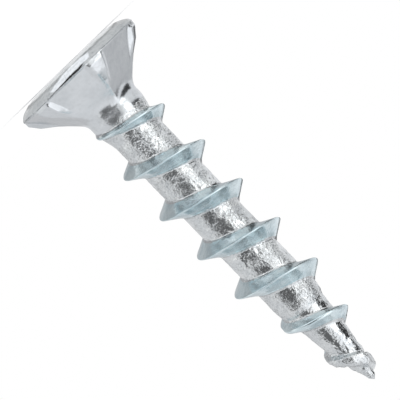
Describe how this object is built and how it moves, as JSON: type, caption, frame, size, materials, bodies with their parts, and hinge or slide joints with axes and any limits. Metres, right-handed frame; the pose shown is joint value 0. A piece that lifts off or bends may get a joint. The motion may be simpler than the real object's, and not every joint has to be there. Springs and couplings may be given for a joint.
{
  "type": "furniture screw",
  "caption": "Countersunk furniture screw with pressed pockets and ribs under the head, a cross recess, a plain neck and a coarse sharp thread down to the point.",
  "frame": {"origin": "centre of the flat face of the head, on the axis, at the lowest point as it stands on its head", "axes": "+Z along the axis from the face of the head to the point; +Y away from the picture's camera, +X to its right when the screw stands on its head"},
  "size_m": [0.0068, 0.0068, 0.02],
  "materials": {
    "zinc": "bright bluish zinc plating, grainy on the core and smooth on the flanks"
  },
  "bodies": {
    "root": {"screw": "zinc"}
  },
  "joints": []
}
